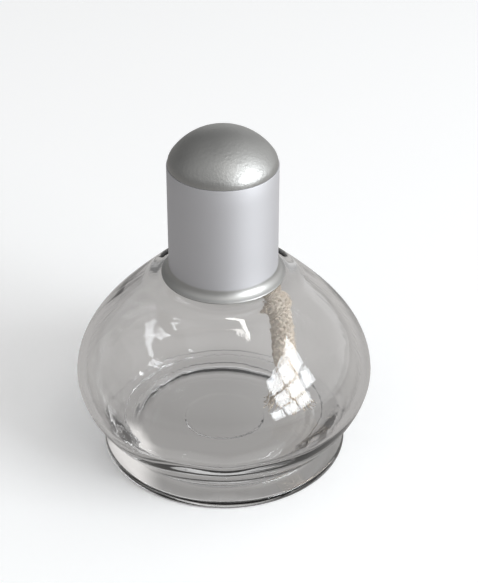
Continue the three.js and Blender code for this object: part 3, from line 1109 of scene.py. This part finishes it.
def stage_floor(s):
    """A wide pale floor. Seen in or through the lamp it is a painted grey table top that glows, with painted
    shadow under the lamp and the foot's ring, a painted caustic to the left and painted light brighter on the
    right.
    """
    bm = bmesh.new()
    bmesh.ops.create_circle(bm, cap_ends=True, segments=96, radius=4.0)
    gap = 0.1 * MM
    bmesh.ops.translate(bm, verts=bm.verts, vec=(0, 0, -gap))
    floor = new_piece("pale_floor", bm)
    f = Finish("pale_floor")
    f.surface(
        base_color=rgba(s.floor_colour),
        roughness=0.9,
        specular_ior_level=0.1,
        emission_color=rgba(s.floor_colour),
        emission_strength=s.floor_glow,
    )
    x, y, _ = f.axes()
    away = (x * x + y * y).math("SQRT")
    # Painted shadow: the glow is darker under the lamp, and at the front darker still under the foot's ring.
    ring = away.ramp(24 * MM, 30 * MM) * away.ramp(40 * MM, 34 * MM)
    under = away.ramp(42 * MM, 22 * MM) * s.contact_shade + ring * y.ramp(10 * MM, -10 * MM) * s.ring_shade
    # Painted light: a bright crescent left of the foot stands in for the window light that the glass gathers.
    painted_caustic_ring = away.ramp(23 * MM, 27 * MM) * away.ramp(36 * MM, 30 * MM)
    painted_caustic = x.ramp(-16 * MM, -24 * MM) * y.ramp(0, -8 * MM) * painted_caustic_ring
    # Painted light and shade: away from the lamp the glow grows brighter to the right, towards the window,
    # darker to the left, and fades far off.
    side = x.ramp(-350 * MM, 150 * MM, s.table_left, s.table_right)
    far = away.ramp(50 * MM, 180 * MM) * (side - 1)
    edge = away.ramp(400 * MM, 800 * MM, 1, s.table_fall)
    light = (painted_caustic * s.gathered_light + far - under + 1) * edge
    # The table's grey is painted as a glow, not lit by the lamps; the painted light and shade above scale it.
    tone = f.node("ShaderNodeVectorMath", {"operation": "SCALE"}, s.painted_table_glow, Scale=light).outputs[0]
    table = f.node("ShaderNodeEmission", {}, tone)
    # Only rays other than camera rays see the painted glowing table; the camera sees the plain pale floor.
    seen = f.node("ShaderNodeLightPath", {}).outputs["Is Camera Ray"]
    blend = f.node("ShaderNodeMixShader", {}, seen, table.outputs[0], f.shader.outputs[0])
    f.tree.links.new(blend.outputs[0], f.output.inputs["Surface"])
    floor.data.materials.append(f.material)


def area_light(name, place, target, size, power, tone, tilt=0.0):
    """A soft rectangular light that faces its target, its width level or tilted."""
    data = bpy.data.lights.new(name, "AREA")
    data.shape = "RECTANGLE"
    data.size, data.size_y = size
    data.energy = power
    data.color = tone
    light = bpy.data.objects.new(name, data)
    bpy.context.scene.collection.objects.link(light)
    back = (Vector(place) - Vector(target)).normalized()
    across = Vector((0, 0, 1)).cross(back).normalized()
    facing = Matrix((across, back.cross(across), back)).transposed().to_4x4()
    light.matrix_world = Matrix.Translation(place) @ facing @ Matrix.Rotation(tilt, 4, "Z")


DAYLIGHT = (0.93, 0.97, 1.0)
TUBE_LIGHT = (1.0, 1.0, 0.97)


def stage_lights(s):
    """A window in two tiers of panes to the right, and a narrow light above."""
    middle = Vector((0, 0, 0.05))
    columns = 3
    rows = 3
    pane = (0.215, 0.2)
    bar = 0.03
    lower_tier = 0.2
    window = Vector((0.93, -0.51, 0.525))
    across = Vector((0, 0, 1)).cross(window - middle).normalized()
    rise = (window - middle).cross(across).normalized()
    power = s.window_power / (columns * rows)
    for i in range(columns):
        for j in range(rows):
            level = (i - (columns - 1) / 2) * (pane[0] + bar) - (lower_tier if j == 0 else 0)
            shift = across * level + rise * (j - (rows - 1) / 2) * (pane[1] + bar)
            area_light(f"pane_{i}_{j}", window + shift, middle + shift, pane, power, DAYLIGHT)
    overhead = Vector((0.3, -0.68, 1.2))
    area_light("narrow_light", overhead, middle, (0.5, 0.03), s.overhead_power, TUBE_LIGHT, radians(-22))


def stage_room(s):
    """A soft room, dark on the left, bright on the right and overhead, with a pale low band at the back."""
    world = bpy.data.worlds.new("studio_room")
    world.use_nodes = True
    f = Finish("studio_room", world.node_tree)
    way = f.node("ShaderNodeTexCoord", {}).outputs["Generated"]
    parts = f.node("ShaderNodeSeparateXYZ", {}, way)
    x, y, z = [Value(f, parts.outputs[i]) for i in range(3)]
    ceiling = z.ramp(0.0, 0.8) * y.ramp(0.6, -0.5, 0.25, 1)
    horizon = z.ramp(0.24, 0.04) * s.room_horizon
    back_wall = y.ramp(0.55, 0.9) * z.ramp(0.48, 0.3) * x.math("ABSOLUTE").ramp(0.34, 0.14)
    walls = x.ramp(-0.1, 1.0) * s.room_right + back_wall * s.room_back
    light = walls + ceiling * s.room_above + horizon + s.room_dark
    seen = Value(f, f.node("ShaderNodeLightPath", {}).outputs["Is Camera Ray"])
    light = (1 - seen) * light + seen * s.backdrop
    back = f.node("ShaderNodeBackground", {}, (1, 1, 1, 1), light)
    f.tree.links.new(back.outputs[0], f.output.inputs["Surface"])
    scene = bpy.context.scene
    scene.world = world
    scene.view_settings.view_transform = "Standard"
    scene.cycles.max_bounces = 24
    scene.cycles.transmission_bounces = 24


def stage_camera(s):
    data = bpy.data.cameras.new("camera")
    data.lens = s.lens
    data.sensor_width = 36
    camera = bpy.data.objects.new("camera", data)
    camera.location = (0, -s.eye_distance, s.eye_height)
    camera.rotation_euler = (pi / 2 - s.eye_pitch, 0, -s.eye_yaw)
    bpy.context.scene.collection.objects.link(camera)
    bpy.context.scene.camera = camera


class LAMP_OT_stage(bpy.types.Operator):
    """Set the pale floor, the soft lights and the camera"""

    bl_idname = "lamp.stage"
    bl_label = "Stage"

    def execute(self, context):
        s = context.scene.lamp_stage
        stage_camera(s)
        stage_floor(s)
        stage_lights(s)
        stage_room(s)
        return {"FINISHED"}


# ---------------------------------------------------------------- panel and start


class LAMP_PT_panel(bpy.types.Panel):
    """Lists the lamp's settings and the operators that make its pieces"""

    bl_idname = "LAMP_PT_panel"
    bl_label = "Oil Lamp"
    bl_space_type = "VIEW_3D"
    bl_region_type = "UI"
    bl_category = "Oil Lamp"

    def draw(self, context):
        for group, operator in STEPS:
            box = self.layout.box()
            box.operator(operator)
            settings = getattr(context.scene, group)
            for name in settings.bl_rna.properties.keys():
                if name not in ("rna_type", "name"):
                    box.prop(settings, name)


GROUPS = {
    "lamp_stage": LampStageSettings,
    "lamp_wick": LampWickSettings,
    "lamp_glass": LampGlassSettings,
    "lamp_burner": LampBurnerSettings,
    "lamp_cap": LampCapSettings,
}
STEPS = [
    ("lamp_stage", "lamp.stage"),
    ("lamp_wick", "lamp.wick"),
    ("lamp_glass", "lamp.glass"),
    ("lamp_burner", "lamp.burner"),
    ("lamp_cap", "lamp.cap"),
]
CLASSES = [LAMP_OT_stage, LAMP_OT_wick, LAMP_OT_glass, LAMP_OT_burner, LAMP_OT_cap, LAMP_PT_panel]


def register():
    for group, settings in GROUPS.items():
        bpy.utils.register_class(settings)
        setattr(bpy.types.Scene, group, bpy.props.PointerProperty(type=settings))
    for item in CLASSES:
        bpy.utils.register_class(item)


def unregister():
    for item in reversed(CLASSES):
        bpy.utils.unregister_class(item)
    for group, settings in GROUPS.items():
        delattr(bpy.types.Scene, group)
        bpy.utils.unregister_class(settings)


def main():
    register()
    bpy.ops.lamp.stage()
    bpy.ops.lamp.wick()
    bpy.ops.lamp.glass()
    bpy.ops.lamp.burner()
    bpy.ops.lamp.cap()


if __name__ == "__main__":
    main()
